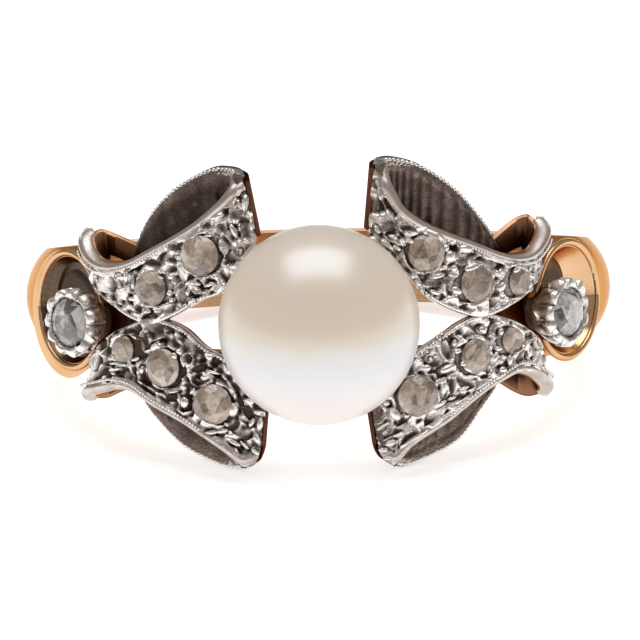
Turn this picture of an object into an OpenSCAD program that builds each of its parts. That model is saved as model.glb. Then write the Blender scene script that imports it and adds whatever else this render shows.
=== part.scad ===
// Pearl and diamond ring: a gold band whose head holds a round pearl between two
// silver-topped ribbon bows, with a stone in a beaded coronet on each shoulder.
//
// Every piece is drawn upright first: X runs across the finger, Y along the finger and
// Z from the middle of the finger hole to the pearl. The whole ring is then laid on its
// side as it rests on a table, on its two lower loops and the back of the band.

/* [Pearl] */
// Diameter of the pearl
pearl_d = 7.0; // [6.6:0.1:7.0]
// Height of the pearl's middle above the middle of the finger hole
pearl_z = 13.0; // [13:0.05:13.2]
// Diameter of the peg that the pearl sits on
peg_d = 0.8; // [0.5:0.1:0.9]

/* [Band] */
// Diameter of the finger hole
finger_d = 17.3; // [16.9:0.1:17.3]
// Radius of the band's outer surface along its crest
band_outer_r = 10.6; // [10.4:0.1:10.7]
// How far the crest's circle is shifted towards the pearl
band_shift = 0.45; // [0.3:0.05:0.5]
// Radius of the band's domed section
band_dome_r = 2.3; // [2.1:0.1:2.4]
// Width of the band at the back of the finger
band_w = 2.66; // [2.2:0.1:3]
// Radius of the two long curves that widen the band towards the shoulders
band_flare_r = 90; // [70:5:120]

/* [Shoulders] */
// Angle of the shoulder cups from the middle of the head
cup_angle = 56.5; // [56:0.5:57]
// Outer radius of a shoulder cup
cup_outer_r = 2.42; // [2.38:0.02:2.46]
// Thickness of a cup's gold wall
cup_wall = 0.27; // [0.22:0.01:0.32]
// How much larger the left cup is outside
left_cup_extra = 0.08; // [0:0.02:0.12]
// Thickness of the silver dish inside a cup
dish_t = 0.2; // [0.15:0.01:0.25]
// Slope of the left dish's edge, which lies deeper on the outward side
left_dish_slope = 5; // [4:1:8]
// Slope of the right dish's edge
right_dish_slope = 12; // [8:1:14]
// Tilt of the left coronet away from the pearl
left_coronet_tilt = 44; // [42:1:48]
// Tilt of the right coronet away from the pearl
right_coronet_tilt = 52; // [46:1:54]
// Number of claws on a coronet
coronet_claws = 11; // [9:1:12]
// Radius of a coronet's stone
coronet_stone_r = 0.86; // [0.78:0.02:0.88]

/* [Bows] */
// Thickness of the silver on the ribbons
silver_t = 0.34; // [0.3:0.02:0.36]
// Thickness of the gold behind the silver
gold_t = 0.22; // [0.18:0.02:0.24]
// Slope of the filed rims of the loops
rim_slope = 0.55; // [0.3:0.05:0.7]
// Gap between neighbouring pieces
gap = 0.03; // [0.02:0.01:0.04]

/* [Rest] */
// Tilt of the ring as it lies on its side
rest_tilt = 11.9; // [11.6:0.1:12.2]

/* [Hidden] */
$fn = 96;

finger_r = finger_d / 2;
pearl_r = pearl_d / 2;
far = 30;

// Where the band ends and the deck of the head begins, and how low its flare starts
band_end_angle = 54;
flare_drop = 8;
// The deck: two rails under the loops and a bridge under the pearl
deck_r = 9.55;
deck_half_w = 2.1;
deck_edge = 0.25;
slot_half_w = 1.3;
slot_from = 2.2;
slot_to = 5.35;
// The pearl's seat and peg
seat_r = 2.3;
seat_top = 10.1;
seat_foot_r = 1.6;
seat_foot = 8.9;
peg_top = 11;

// Shoulder cups, dishes and coronets
cup_centre_r = 11.6;
cup_rim_r = 10.6;
cup_lip_at_r = 2.055;
cup_lip_r = 0.12;
left_cup_shift = [0.28, -0.16];
dish_drop = 0.08;
coronet_x = 8.9;
coronet_y = -0.28;
coronet_z = 7.6;
coronet_h = 1.5;
coronet_foot_r = 0.7;
coronet_waist = 0.72;
coronet_waist_r = 1.12;
coronet_lip = 0.08;
coronet_lip_r = 1.04;
coronet_seat = 0.5;
claw_at_r = 1.03;
claw_foot_r = 0.2;
claw_tip_r = 0.21;
claw_tip = 0.17;

// Cut stones, in shares of the stone's radius; heights are above the metal underneath
stone_sides = 8;
stone_back = 0.07;
stone_back_r = 0.6;
stone_girdle = 0.42;
stone_girdle_t = 0.08;
stone_top = 0.84;
stone_table_r = 0.52;
stone_mid_r = 0.8;
stone_slope = (stone_top - stone_girdle - stone_girdle_t) / (1 - stone_table_r);
stone_mid = stone_top - stone_slope * (stone_mid_r * cos(180 / stone_sides) - stone_table_r);
room_depth = 0.3;
claws_per_stone = 4;
bead_r = 0.2;

// Where the ring lies: its lowest point on the table and its box's middle over the origin
lay_up = 3.324;
lay_back = 3.12;

// A ribbon's front strip, from its end beside the pearl, over the waist and round the
// small curl. Columns: distance from the middle, height of the face where silver and gold
// meet, inner edge, outer edge, and how much further out the outer edge lies.
FRONT_UL = [[2.19, 11.20, 2.60, 5.05, 0.48], [2.49, 11.24, 2.28, 4.80, 0.45],
            [3.20, 11.18, 1.12, 4.32, 0.10], [4.05, 10.88, 0.72, 3.64, 0.00],
            [4.95, 10.45, 0.18, 3.03, 0.00], [5.75, 9.98, -0.15, 2.56, 0.00],
            [6.45, 9.46, 0.05, 2.14, 0.00], [7.05, 8.90, 0.45, 1.95, 0.00],
            [7.50, 8.38, 0.80, 2.00, 0.10], [7.69, 7.85, 1.15, 2.32, 0.28],
            [7.66, 7.30, 1.65, 2.75, 0.46], [7.53, 6.90, 1.85, 2.98, 0.38],
            [7.35, 6.80, 2.00, 3.02, 0.20], [6.90, 7.10, 1.90, 2.80, 0.00],
            [6.05, 7.72, 1.50, 2.45, 0.00]];
FRONT_LL = [[2.00, 11.15, 2.74, 4.60, 0.22], [2.34, 11.21, 2.44, 5.04, 0.20],
            [2.70, 11.22, 2.03, 5.10, 0.08], [3.20, 11.15, 1.30, 4.72, 0.00],
            [3.95, 10.92, 0.85, 4.18, 0.00], [4.70, 10.57, 0.20, 3.66, 0.00],
            [5.70, 10.00, -0.10, 3.12, 0.00], [6.50, 9.42, 0.20, 2.60, 0.00],
            [7.10, 8.85, 0.55, 2.55, 0.00], [7.50, 8.30, 1.00, 2.70, 0.10],
            [7.75, 7.75, 1.35, 2.85, 0.25], [7.75, 7.25, 1.60, 3.00, 0.40],
            [7.60, 6.90, 1.90, 3.12, 0.35], [7.35, 6.82, 2.00, 3.12, 0.15],
            [6.90, 7.15, 1.90, 2.85, 0.00], [6.05, 7.68, 1.50, 2.55, 0.00]];
FRONT_UR = [[1.90, 11.15, 2.80, 5.40, 0.26], [2.22, 11.22, 2.55, 4.80, 0.30],
            [2.90, 11.20, 1.75, 4.02, 0.00], [3.70, 11.00, 0.75, 3.38, 0.00],
            [4.60, 10.62, 0.18, 2.92, 0.00], [5.50, 10.13, -0.12, 2.52, 0.00],
            [6.20, 9.65, 0.02, 2.17, 0.00], [6.80, 9.12, 0.35, 1.97, 0.00],
            [7.30, 8.55, 0.75, 2.03, 0.10], [7.56, 7.95, 1.10, 2.42, 0.23],
            [7.58, 7.35, 1.55, 2.80, 0.36], [7.43, 6.92, 1.85, 3.10, 0.33],
            [7.25, 6.82, 2.00, 3.25, 0.15], [6.80, 7.15, 1.90, 3.05, 0.00],
            [6.00, 7.76, 1.50, 2.45, 0.00]];
FRONT_LR = [[1.86, 11.13, 2.90, 4.60, 0.26], [2.18, 11.20, 2.58, 5.08, 0.24],
            [2.50, 11.22, 2.27, 5.12, 0.10], [3.10, 11.17, 1.35, 4.55, 0.00],
            [4.20, 10.82, 0.65, 3.88, 0.00], [4.90, 10.48, 0.22, 3.36, 0.00],
            [5.60, 10.05, 0.00, 2.85, 0.00], [6.25, 9.60, 0.15, 2.50, 0.00],
            [6.85, 9.08, 0.45, 2.25, 0.00], [7.30, 8.55, 0.85, 2.40, 0.08],
            [7.55, 7.95, 1.25, 2.75, 0.22], [7.60, 7.40, 1.55, 3.05, 0.35],
            [7.50, 6.95, 1.90, 3.30, 0.30], [7.20, 6.87, 2.00, 3.38, 0.10],
            [6.75, 7.15, 1.90, 3.15, 0.00], [6.00, 7.72, 1.50, 2.60, 0.00]];

// The back strip of each loop, from the waist to the fold beside the pearl, same columns.
BACK_UL = [[6.25, 7.85, 1.20, 2.45, 0.00], [5.60, 8.35, 1.20, 3.74, 0.00],
           [4.70, 8.85, 1.30, 4.68, 0.00], [3.60, 9.30, 1.80, 5.27, 0.00],
           [2.80, 9.65, 2.50, 5.32, 0.16], [2.28, 10.10, 2.80, 5.26, 0.34],
           [2.13, 10.70, 2.85, 5.18, 0.42], [2.14, 11.42, 2.85, 5.06, 0.42]];
BACK_LL = [[6.20, 7.85, 1.20, 2.85, 0.00], [5.60, 8.35, 1.20, 3.74, 0.00],
           [4.70, 8.85, 1.30, 4.66, 0.00], [3.60, 9.30, 1.80, 5.22, 0.00],
           [2.80, 9.65, 2.55, 5.35, 0.10], [2.20, 10.10, 2.90, 5.20, 0.20],
           [2.00, 10.70, 3.00, 4.90, 0.25], [1.98, 11.42, 3.00, 4.50, 0.15]];
BACK_UR = [[6.20, 7.90, 1.20, 2.25, 0.00], [5.60, 8.35, 1.20, 3.28, 0.00],
           [4.70, 8.85, 1.30, 4.42, 0.00], [3.60, 9.30, 1.80, 5.24, 0.00],
           [2.60, 9.65, 2.50, 5.56, 0.05], [1.95, 10.10, 2.90, 5.56, 0.18],
           [1.80, 10.70, 3.00, 5.52, 0.26], [1.85, 11.42, 3.00, 5.44, 0.24]];
BACK_LR = [[6.20, 7.85, 1.20, 2.60, 0.00], [5.60, 8.35, 1.20, 3.45, 0.00],
           [4.70, 8.85, 1.30, 4.62, 0.00], [3.60, 9.30, 1.80, 5.17, 0.00],
           [2.70, 9.65, 2.60, 5.40, 0.10], [2.05, 10.10, 2.90, 5.20, 0.25],
           [1.80, 10.70, 3.05, 4.90, 0.30], [1.78, 11.42, 3.05, 4.50, 0.20]];

// Stones of each ribbon. Columns: row of the front strip on which the stone sits,
// distance from the middle line, radius.
STONES_UL = [[2.93, 2.33, 0.72], [4.95, 1.12, 0.64]];
STONES_LL = [[3.65, 2.88, 0.72], [5.65, 1.64, 0.68], [7.40, 1.08, 0.54]];
STONES_UR = [[3.00, 2.28, 0.68], [4.90, 1.08, 0.68], [7.22, 1.00, 0.54]];
STONES_LR = [[3.22, 2.71, 0.74], [5.62, 1.48, 0.64], [7.65, 1.02, 0.52]];

rows_per_step = 3;
bend_shares = [0, 0.55, 0.82, 1];
gold_from = 4 / 3;
back_trim = 0.12;

function blend(a, b, c, d, t) =
    0.5 * (2 * b + (c - a) * t + (2 * a - 5 * b + 4 * c - d) * t * t
           + (3 * b - a - 3 * c + d) * t * t * t);
function row_at(rows, s) =
    let (last = len(rows) - 1, i = min(floor(s), last - 1))
    blend(rows[max(i - 1, 0)], rows[i], rows[i + 1], rows[min(i + 2, last)], s - i);
function smooth_rows(rows, from, to) =
    [for (s = [from * rows_per_step:to * rows_per_step]) row_at(rows, s / rows_per_step)];

// Direction square to the strip at row i: up on the front, outwards on folds and curls
function square_to(rows, i) =
    let (a = rows[max(i - 1, 0)], b = rows[min(i + 1, len(rows) - 1)],
         along = [b[0] - a[0], b[1] - a[1]])
    [-along[1], along[0]] / norm(along);

// The corners of a strip's section at row i, from offset low to offset high: the outer
// edge bends away along the strip by the row's last column
function section(rows, i, low, high, trim) =
    let (r = rows[i], n = square_to(rows, i), last = len(bend_shares) - 1)
    [for (k = [0:2 * last + 1])
         let (offset = k <= last ? low : high,
              share = bend_shares[k <= last ? k : 2 * last + 1 - k],
              rise = offset * n[1], inner = r[2] + trim,
              y = inner + share * (r[3] - trim - rim_slope * rise - inner),
              bend = pow((y - r[2]) / (r[3] - r[2]), 2))
         [r[0] + bend * r[4] + offset * n[0], y, r[1] + rise]];

// A bent strip of even thickness that follows the rows
module strip(rows, low, high, trim = 0) {
    last = len(rows) - 1;
    n = 2 * len(bend_shares);
    points = [for (i = [0:last], p = section(rows, i, low, high, trim)) p];
    sides = [for (i = [0:last - 1], k = [0:n - 1])
                 let (a = n * i + k, b = n * i + (k + 1) % n)
                 each [[a, a + n, b], [b, a + n, b + n]]];
    end = [for (k = [0:n / 2 - 2]) each [[k, k + 1, n - 2 - k], [k, n - 2 - k, n - 1 - k]]];
    far_end = [for (face = end) [for (k = [2, 1, 0]) n * last + face[k]]];
    polyhedron(points, concat(sides, end, far_end));
}

// The upright ring laid on its side
module lay_down() {
    translate([0, lay_back, lay_up]) rotate([90 - rest_tilt, 0, 0]) children();
}

// Children drawn for the upper right ribbon, moved to the left and to the lower side
module ribbon_place(left, lower) {
    mirror([left ? 1 : 0, 0, 0]) mirror([0, lower ? 1 : 0, 0]) children();
}

// Children with their Z axis square to the front strip, at a stone's place
module stone_place(front, stone) {
    p = row_at(front, stone[0]);
    q = row_at(front, stone[0] + 0.05);
    angle = atan2(q[1] - p[1], q[0] - p[0]);
    translate([p[0], stone[1], p[1]]) rotate([0, -angle, 0]) children();
}

// Children moved to a coronet, their Z axis along its axis and their origin at its rim
module coronet_place(left) {
    mirror([left ? 1 : 0, 0, 0]) translate([coronet_x, coronet_y, coronet_z])
        rotate([0, left ? left_coronet_tilt : right_coronet_tilt, 0]) children();
}

module cup_place(left) {
    mirror([left ? 1 : 0, 0, 0]) rotate([0, cup_angle, 0]) children();
}

// Old cut stone: a small flat back, a girdle, and a crown of facets round a table
module cut_stone(r) {
    n = stone_sides;
    function ring(count, radius, height, turn) =
        [for (i = [0:count - 1])
             [r * radius * cos(360 * i / count + turn), r * radius * sin(360 * i / count + turn),
              r * height]];
    crown = stone_girdle + stone_girdle_t;
    back = 0;
    under = n;
    over = 3 * n;
    mid = 5 * n;
    table = 6 * n;
    faces = concat(
        [[for (i = [0:n - 1]) table + i], [for (i = [n - 1:-1:0]) back + i]],
        [for (i = [0:n - 1])
             let (j = (i + 1) % n, a = 2 * i, b = 2 * i + 1, c = 2 * j)
             each [[table + i, mid + i, table + j],
                   [table + j, mid + i, over + c], [table + j, over + c, mid + j],
                   [mid + i, over + a, over + b], [mid + i, over + b, over + c],
                   [over + a, under + a, under + b], [over + a, under + b, over + b],
                   [over + b, under + b, under + c], [over + b, under + c, over + c],
                   [under + a, back + i, under + b], [under + b, back + i, back + j],
                   [under + b, back + j, under + c]]]);
    polyhedron(concat(ring(n, stone_back_r, stone_back, 0),
                      ring(2 * n, 1, stone_girdle, 0),
                      ring(2 * n, 1, crown, 0),
                      ring(n, stone_mid_r, stone_mid, 180 / n),
                      ring(n, stone_table_r, stone_top, 0)),
               [for (face = faces) [for (i = [len(face) - 1:-1:0]) face[i]]]);
}

// Room that the metal leaves round a stone: a well, and above it a cone over the crown
module stone_room(r) {
    crown = r * (stone_girdle + stone_girdle_t) + gap;
    rotate_extrude($fn = 24)
        polygon([[0, -room_depth], [r + gap, -room_depth], [r + gap, crown],
                 [r * stone_table_r, crown + r * (stone_top - stone_girdle)],
                 [0, crown + r * (stone_top - stone_girdle)]]);
}

// Bead of silver raised against the edge of a stone
module claw(r) {
    hull() {
        translate([r + 0.08, 0, r * 0.7]) sphere(bead_r, $fn = 8);
        translate([r + 0.16, 0, 0.1]) cylinder(r = bead_r * 0.9, h = 0.1, $fn = 8);
    }
}

// Silver of one ribbon: its front with the stones' seats, and the lining of its loop
module ribbon_silver(front, back, stones) {
    difference() {
        union() {
            strip(smooth_rows(front, 0, len(front) - 4), 0, silver_t);
            strip(smooth_rows(back, 0, len(back) - 1), -silver_t, 0);
            for (stone = stones, k = [0:claws_per_stone - 1])
                stone_place(front, stone) rotate([0, 0, 45 + 360 * k / claws_per_stone])
                    claw(stone[2]);
        }
        for (stone = stones) stone_place(front, stone) stone_room(stone[2]);
    }
}

// Gold of one ribbon: behind the front, on round the curl, and outside the loop's back
module ribbon_gold(front, back) {
    strip(smooth_rows(front, gold_from, len(front) - 1), -gold_t, -gap, gap);
    strip(smooth_rows(back, 0, len(back) - 1), gap, gold_t, back_trim);
}

module bow(left, upper_front, upper_back, upper_stones, lower_front, lower_back, lower_stones) {
    color("silver") lay_down() {
        ribbon_place(left, false) ribbon_silver(upper_front, upper_back, upper_stones);
        ribbon_place(left, true) ribbon_silver(lower_front, lower_back, lower_stones);
    }
}

module backing(left, upper_front, upper_back, lower_front, lower_back) {
    color("peru") lay_down() {
        ribbon_place(left, false) ribbon_gold(upper_front, upper_back);
        ribbon_place(left, true) ribbon_gold(lower_front, lower_back);
    }
}

module ribbon_stone(left, lower, front, stone) {
    color("gainsboro") lay_down() ribbon_place(left, lower)
        stone_place(front, stone) cut_stone(stone[2]);
}

// Gold band: domed and wider at the shoulders, with the cups, rails, bridge and pearl seat
module shank() {
    color("goldenrod") lay_down() union() {
        difference() {
            union() {
                difference() {
                    union() {
                        band();
                        deck();
                        pearl_seat();
                        for (left = [false, true]) cup_place(left) cup(left);
                    }
                    for (left = [false, true]) cup_place(left) cup_hollow(left);
                }
                for (left = [false, true]) cup_place(left) cup_lip();
            }
            rotate([90, 0, 0]) cylinder(r = finger_r, h = far, center = true, $fn = 180);
            for (left = [false, true]) coronet_place(left) coronet_body(gap);
            translate([0, 0, pearl_z]) sphere(pearl_r + gap);
        }
        translate([0, 0, seat_foot]) cylinder(d = peg_d, h = peg_top - seat_foot);
    }
}

// Wedge about the finger's middle, open towards the pearl by the angle to each side
module head_wedge(angle) {
    rotate([90, 0, 0]) linear_extrude(far, center = true)
        polygon([[0, 0], [far * sin(angle), far * cos(angle)], [-far * sin(angle), far * cos(angle)]]);
}

module band() {
    difference() {
        translate([0, 0, band_shift]) rotate([90, 0, 0])
            rotate_extrude($fn = 180) translate([band_outer_r - band_dome_r, 0]) circle(band_dome_r);
        for (side = [-1, 1])
            translate([0, side * (band_w / 2 + band_flare_r), -flare_drop]) rotate([0, 90, 0])
                cylinder(r = band_flare_r, h = far, center = true, $fn = 360);
        head_wedge(band_end_angle);
    }
}

module deck() {
    w = deck_half_w;
    edge = deck_edge;
    difference() {
        intersection() {
            rotate([90, 0, 0]) rotate_extrude($fn = 180)
                polygon([[finger_r - 1, -w], [deck_r - edge, -w], [deck_r, edge - w],
                         [deck_r, w - edge], [deck_r - edge, w], [finger_r - 1, w]]);
            head_wedge(band_end_angle + 1);
        }
        for (side = [-1, 1])
            translate([side * (slot_from + slot_to) / 2, 0, deck_r])
                cube([slot_to - slot_from, 2 * slot_half_w, 8], center = true);
    }
}

module pearl_seat() {
    translate([0, 0, seat_foot]) cylinder(r1 = seat_foot_r, r2 = seat_r, h = seat_top - seat_foot);
}

module cup(left) {
    intersection() {
        translate([left ? left_cup_shift.x : 0, left ? left_cup_shift.y : 0, cup_centre_r])
            sphere(cup_outer_r + (left ? left_cup_extra : 0));
        cylinder(r = cup_outer_r + 1, h = cup_rim_r + 0.15);
    }
}

// The cup's bowl, and all that stands over its rim
module cup_hollow(left) {
    mouth_r = sqrt(pow(cup_outer_r, 2) - pow(cup_centre_r - cup_rim_r, 2));
    translate([0, 0, cup_centre_r]) sphere(cup_outer_r - cup_wall);
    translate([0, 0, cup_rim_r]) cylinder(r = mouth_r + (left ? 0.5 : 0.12), h = 3);
}

// Rounded rim of a cup
module cup_lip() {
    translate([0, 0, cup_rim_r]) rotate_extrude() translate([cup_lip_at_r, 0]) circle(cup_lip_r);
}

// Thin silver bowl that lines a shoulder cup, cut out round the coronet's foot
module dish(left) {
    r = cup_outer_r - cup_wall - gap;
    color("darkgray") lay_down() difference() {
        cup_place(left) difference() {
            intersection() {
                translate([0, 0, cup_centre_r]) sphere(r);
                translate([-r, 0, cup_rim_r - dish_drop])
                    rotate([0, left ? left_dish_slope : right_dish_slope, 0])
                    translate([r, 0, -4]) cylinder(r = r + 2, h = 4);
            }
            translate([0, 0, cup_centre_r]) sphere(r - dish_t);
        }
        coronet_place(left) coronet_body(gap);
    }
}

// A coronet without its claws, grown all round by the margin
module coronet_body(margin) {
    m = margin;
    rotate_extrude()
        polygon([[0, -coronet_h - m], [coronet_foot_r + m, -coronet_h - m],
                 [coronet_waist_r + m, -coronet_waist], [coronet_lip_r + m, -coronet_lip],
                 [0, -coronet_lip]]);
}

module coronet_claw() {
    reach = coronet_waist - claw_tip;
    translate([claw_at_r, 0, -coronet_waist]) cylinder(r = claw_foot_r, h = reach, $fn = 32);
    translate([claw_at_r, 0, -claw_tip]) sphere(claw_tip_r, $fn = 32);
}

// Beaded collet of a shoulder stone
module coronet(left) {
    color("lightgray") lay_down() coronet_place(left) difference() {
        union() {
            coronet_body(0);
            for (k = [0:coronet_claws - 1]) rotate([0, 0, 360 * k / coronet_claws]) coronet_claw();
        }
        translate([0, 0, -coronet_seat]) stone_room(coronet_stone_r);
    }
}

module coronet_stone(left) {
    color("whitesmoke") lay_down() coronet_place(left)
        translate([0, 0, -coronet_seat]) cut_stone(coronet_stone_r);
}

// Drilled pearl on its peg
module pearl() {
    color("seashell") lay_down() difference() {
        translate([0, 0, pearl_z]) sphere(pearl_r, $fn = 128);
        cylinder(d = peg_d + 2 * gap, h = peg_top + 0.1);
    }
}

shank();
pearl();
bow(true, FRONT_UL, BACK_UL, STONES_UL, FRONT_LL, BACK_LL, STONES_LL);  // bow_left
bow(false, FRONT_UR, BACK_UR, STONES_UR, FRONT_LR, BACK_LR, STONES_LR);  // bow_right
backing(true, FRONT_UL, BACK_UL, FRONT_LL, BACK_LL);  // backing_left
backing(false, FRONT_UR, BACK_UR, FRONT_LR, BACK_LR);  // backing_right
dish(true);  // dish_left
dish(false);  // dish_right
coronet(true);  // coronet_left
coronet(false);  // coronet_right
coronet_stone(true);  // stone_coronet_left
coronet_stone(false);  // stone_coronet_right
ribbon_stone(true, false, FRONT_UL, STONES_UL[0]);  // stone_ul_1
ribbon_stone(true, false, FRONT_UL, STONES_UL[1]);  // stone_ul_2
ribbon_stone(true, true, FRONT_LL, STONES_LL[0]);  // stone_ll_1
ribbon_stone(true, true, FRONT_LL, STONES_LL[1]);  // stone_ll_2
ribbon_stone(true, true, FRONT_LL, STONES_LL[2]);  // stone_ll_3
ribbon_stone(false, false, FRONT_UR, STONES_UR[0]);  // stone_ur_1
ribbon_stone(false, false, FRONT_UR, STONES_UR[1]);  // stone_ur_2
ribbon_stone(false, false, FRONT_UR, STONES_UR[2]);  // stone_ur_3
ribbon_stone(false, true, FRONT_LR, STONES_LR[0]);  // stone_lr_1
ribbon_stone(false, true, FRONT_LR, STONES_LR[1]);  // stone_lr_2
ribbon_stone(false, true, FRONT_LR, STONES_LR[2]);  // stone_lr_3
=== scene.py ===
import math

import bpy
import numpy as np
from mathutils import Matrix, Vector


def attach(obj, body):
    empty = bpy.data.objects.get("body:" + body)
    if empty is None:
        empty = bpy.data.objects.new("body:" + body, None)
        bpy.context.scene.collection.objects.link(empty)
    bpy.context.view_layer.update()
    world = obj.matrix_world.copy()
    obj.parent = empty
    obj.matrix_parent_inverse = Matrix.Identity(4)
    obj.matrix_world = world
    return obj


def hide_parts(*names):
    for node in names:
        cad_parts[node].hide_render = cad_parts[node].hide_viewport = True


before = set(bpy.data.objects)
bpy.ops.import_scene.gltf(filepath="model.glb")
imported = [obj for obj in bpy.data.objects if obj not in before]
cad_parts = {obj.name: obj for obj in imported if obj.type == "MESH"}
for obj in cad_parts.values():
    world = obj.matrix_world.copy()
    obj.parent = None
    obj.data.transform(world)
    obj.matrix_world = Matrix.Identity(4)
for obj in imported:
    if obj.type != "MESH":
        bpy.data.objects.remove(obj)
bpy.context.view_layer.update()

# The ring is drawn upright in millimetres, X across the finger, Y along it, Z to the pearl,
# and laid on its side as the solids are.
mm = 0.001
lie = {"tilt": 11.9, "up": 3.324, "back": 3.12}
sinLean = math.sin(math.radians(lie["tilt"]))
cosLean = math.cos(math.radians(lie["tilt"]))
layDown = Matrix.Scale(mm, 4) @ Matrix(((1, 0, 0, 0),
                                        (0, sinLean, -cosLean, lie["back"]),
                                        (0, cosLean, sinLean, lie["up"]),
                                        (0, 0, 0, 1)))

# the photo's camera: distances in mm, angles in degrees, the pearl's radius in both units
view = {"distance": 260, "above": 5.8, "roll": 1.2, "aim": 13.0, "pearlRadius": 3.5,
        "pearlPixels": 101, "frame": 640, "sensor": 36, "shift": (1 / 640, 5 / 640)}


def addCamera():
    above = math.radians(view["above"])
    roll = math.radians(view["roll"])
    out = Vector((0, math.sin(above), math.cos(above)))
    up = Vector((0, math.cos(above), -math.sin(above)))
    side = Vector((1, 0, 0))
    turn = layDown.to_3x3() * (1 / mm)
    axes = [turn @ (side * math.cos(roll) - up * math.sin(roll)),
            turn @ (side * math.sin(roll) + up * math.cos(roll)), turn @ out]
    camera = bpy.data.cameras.new("camera")
    camera.sensor_width = view["sensor"]
    perMm = view["pearlPixels"] / view["pearlRadius"]
    camera.lens = perMm * view["distance"] / view["frame"] * view["sensor"]
    camera.shift_x, camera.shift_y = view["shift"]
    camera.clip_start = 0.01
    camera.clip_end = 20
    holder = bpy.data.objects.new("camera", camera)
    holder.matrix_world = Matrix(axes).transposed().to_4x4()
    holder.matrix_world.translation = layDown @ (Vector((0, 0, view["aim"]))
                                                 + view["distance"] * out)
    bpy.context.collection.objects.link(holder)
    bpy.context.scene.camera = holder


# one soft box overhead: place, target and size in metres, light leaving a square metre
softBox = {"place": (0.0, 0.04, 0.42), "target": (0, 0, 0.006), "size": (0.44, 0.32),
           "glow": 2.3, "colour": (0.98, 0.99, 1)}
# what lights the ring all round, and the strength of the white that the camera sees
surround = {"colour": (0.95, 0.87, 0.78, 1), "strength": 0.38, "seen": 1.0}


def addLights():
    place = Vector(softBox["place"])
    wide, deep = softBox["size"]
    lamp = bpy.data.lights.new("lamp_top", "AREA")
    lamp.shape = "RECTANGLE"
    lamp.size, lamp.size_y = wide, deep
    lamp.energy = softBox["glow"] * math.pi * wide * deep
    lamp.color = softBox["colour"]
    holder = bpy.data.objects.new("lamp_top", lamp)
    holder.location = place
    toRing = Vector(softBox["target"]) - place
    holder.rotation_euler = toRing.to_track_quat("-Z", "Y").to_euler()
    bpy.context.collection.objects.link(holder)
    world = bpy.data.worlds.new("studio")
    bpy.context.scene.world = world
    world.use_nodes = True
    tree = world.node_tree
    backdrop = tree.nodes["Background"]
    backdrop.inputs["Color"].default_value = surround["colour"]
    backdrop.inputs["Strength"].default_value = surround["strength"]
    bright = tree.nodes.new("ShaderNodeBackground")
    bright.inputs["Strength"].default_value = surround["seen"]
    path = tree.nodes.new("ShaderNodeLightPath")
    both = tree.nodes.new("ShaderNodeMixShader")
    for k, socket in enumerate((path.outputs["Is Camera Ray"], backdrop.outputs[0],
                                bright.outputs[0])):
        tree.links.new(socket, both.inputs[k])
    tree.links.new(both.outputs[0], tree.nodes["World Output"].inputs["Surface"])
    bpy.context.scene.view_settings.view_transform = "Standard"


class Wire:
    def __init__(self, finish, socket):
        self.finish = finish
        self.socket = socket

    def sum(self, operation, left, right):
        return self.finish.node("ShaderNodeMath", {"operation": operation}, {0: left, 1: right})

    def __add__(self, other):
        return self.sum("ADD", self, other)

    def __radd__(self, other):
        return self.sum("ADD", other, self)

    def __sub__(self, other):
        return self.sum("SUBTRACT", self, other)

    def __rsub__(self, other):
        return self.sum("SUBTRACT", other, self)

    def __mul__(self, other):
        return self.sum("MULTIPLY", self, other)

    def swing(self, share):
        # a noise that pushes both ways
        return (self - 0.5) * share


class Finish:
    def __init__(self, name, **plain):
        self.material = bpy.data.materials.new(name)
        self.material.use_nodes = True
        self.tree = self.material.node_tree
        self.shader = self.tree.nodes["Principled BSDF"]
        for socket, value in plain.items():
            self.set(socket.replace("_", " "), value)

    def feed(self, socket, value):
        if isinstance(value, Wire):
            self.tree.links.new(value.socket, socket)
        else:
            socket.default_value = value

    def set(self, name, value):
        self.feed(self.shader.inputs[name], value)

    def node(self, kind, settings=None, values=None, out=0):
        made = self.tree.nodes.new(kind)
        for key, value in (settings or {}).items():
            setattr(made, key, value)
        for key, value in (values or {}).items():
            self.feed(made.inputs[key], value)
        return Wire(self, made.outputs[out])

    def place(self):
        return self.node("ShaderNodeTexCoord", out="Object")

    def noise(self, perMm, detail, rough, stretch=None):
        at = self.place()
        if stretch:
            at = self.node("ShaderNodeMapping", None, {"Vector": at, "Scale": stretch})
        return self.node("ShaderNodeTexNoise", None,
                         {"Vector": at, "Scale": perMm / mm, "Detail": detail,
                          "Roughness": rough})

    def ramp(self, value, stops):
        made = self.node("ShaderNodeValToRGB", None, {"Fac": value})
        elements = made.socket.node.color_ramp.elements
        while len(elements) < len(stops):
            elements.new(0.5)
        for stop, (place, tone) in zip(elements, stops):
            stop.position = place
            stop.color = colour(*tone) if isinstance(tone, tuple) else colour(tone, tone, tone)
        return made

    def mix(self, share, first, second):
        return self.node("ShaderNodeMix", {"data_type": "RGBA"},
                         {"Factor": share, 6: first, 7: second}, out=2)

    def bump(self, height, depth, strength):
        return self.node("ShaderNodeBump", None,
                         {"Height": height, "Distance": depth * mm, "Strength": strength})

    # ambient occlusion, 1 in deep hollows; the golds and the dish darken their colour with it,
    # painted shade
    def recess(self, reach):
        shade = self.node("ShaderNodeAmbientOcclusion", {"samples": 6},
                          {"Distance": reach * mm}, out="AO")
        return 1 - shade

    def wear(self, soot, grit, look, pits, rough):
        # rougher where patina and shade darken the colour and where there is grit, and pitted by
        # the grit
        self.set("Roughness", rough + soot * look["sootRough"] + grit * look["gritRough"])
        self.set("Normal", self.bump(grit, pits, look["bump"]))
        return self.material


def colour(red, green, blue):
    return (red, green, blue, 1.0)


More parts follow.
